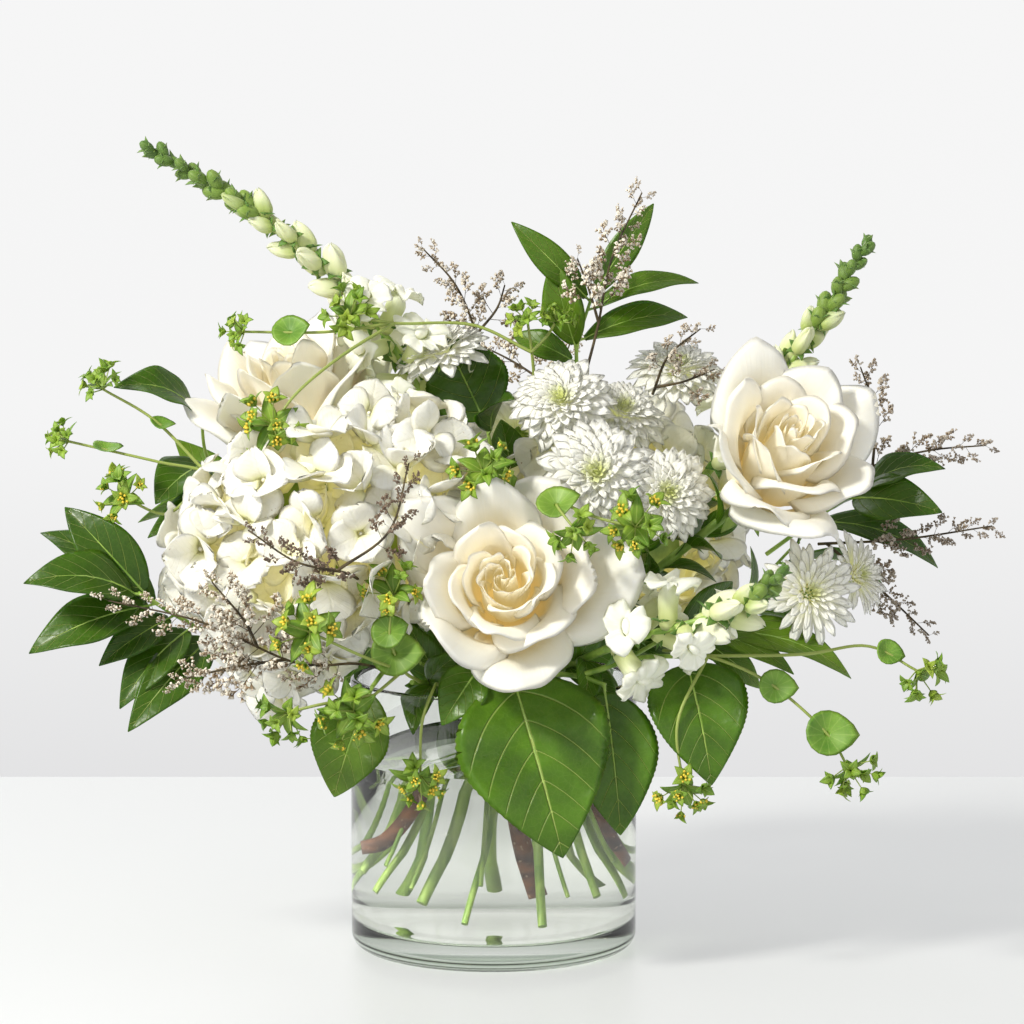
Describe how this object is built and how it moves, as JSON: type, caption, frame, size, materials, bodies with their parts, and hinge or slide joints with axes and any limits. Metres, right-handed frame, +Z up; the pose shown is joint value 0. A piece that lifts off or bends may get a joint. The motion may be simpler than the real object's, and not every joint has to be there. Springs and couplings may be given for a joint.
{
  "type": "floral table centerpiece",
  "caption": "low spreading bouquet of cream roses, white hydrangea, cushion mums, snapdragons and greens, standing in water in a clear glass cylinder vase",
  "frame": {"origin": "middle of the vase's flat foot, on the surface it stands on", "axes": "+Z up along the vase's axis, +X to the right of the bouquet's front, which faces -Y; the bouquet is widest along X"},
  "size_m": [0.5057, 0.2782, 0.4256],
  "materials": {
    "glass": "gloss",
    "water": "gloss",
    "stem_green": "satin",
    "stem_woody": "matte",
    "rose_petal": "satin",
    "hydrangea_petal": "matte",
    "mum_petal": "matte",
    "snapdragon_petal": "satin",
    "bupleurum_bract": "satin",
    "lavender_floret": "matte",
    "leaf_green": "satin",
    "leaf_dark": "satin"
  },
  "bodies": {
    "root": {"vase": "glass", "water": "water", "green_stems": "stem_green", "woody_stem_left": "stem_woody", "woody_stem_middle": "stem_woody", "woody_stem_right": "stem_woody", "rose_front": "rose_petal", "rose_right": "rose_petal", "rose_left": "rose_petal", "rose_back": "rose_petal", "hydrangea_left": "hydrangea_petal", "hydrangea_back": "hydrangea_petal", "mum_01": "mum_petal", "mum_02": "mum_petal", "mum_03": "mum_petal", "mum_04": "mum_petal", "mum_05": "mum_petal", "mum_06": "mum_petal", "mum_07": "mum_petal", "mum_08": "mum_petal", "mum_09": "mum_petal", "mum_10": "mum_petal", "mum_11": "mum_petal", "snapdragon_upper_left": "snapdragon_petal", "snapdragon_upper_right": "snapdragon_petal", "snapdragon_front_right": "snapdragon_petal", "bupleurum_upper_left": "bupleurum_bract", "bupleurum_centre": "bupleurum_bract", "bupleurum_lower_left": "bupleurum_bract", "bupleurum_front": "bupleurum_bract", "bupleurum_right": "bupleurum_bract", "bupleurum_top": "bupleurum_bract", "lavender_top_left": "lavender_floret", "lavender_top": "lavender_floret", "lavender_top_right": "lavender_floret", "lavender_lower_left": "lavender_floret", "lavender_over_hydrangea": "lavender_floret", "lavender_right": "lavender_floret", "lavender_right_low": "lavender_floret", "lavender_back": "lavender_floret", "leafy_stem_front": "leaf_dark", "hydrangea_leaf": "leaf_green", "leafy_stem_centre": "leaf_dark", "leafy_stem_top": "leaf_green", "leafy_stem_upper_left": "leaf_dark", "leafy_stem_left": "leaf_dark", "leafy_stem_right": "leaf_dark", "leafy_stem_low_right": "leaf_green", "leafy_stem_back": "leaf_dark", "leafy_stem_back_left": "leaf_green", "leafy_stem_back_right": "leaf_dark"}
  },
  "joints": []
}
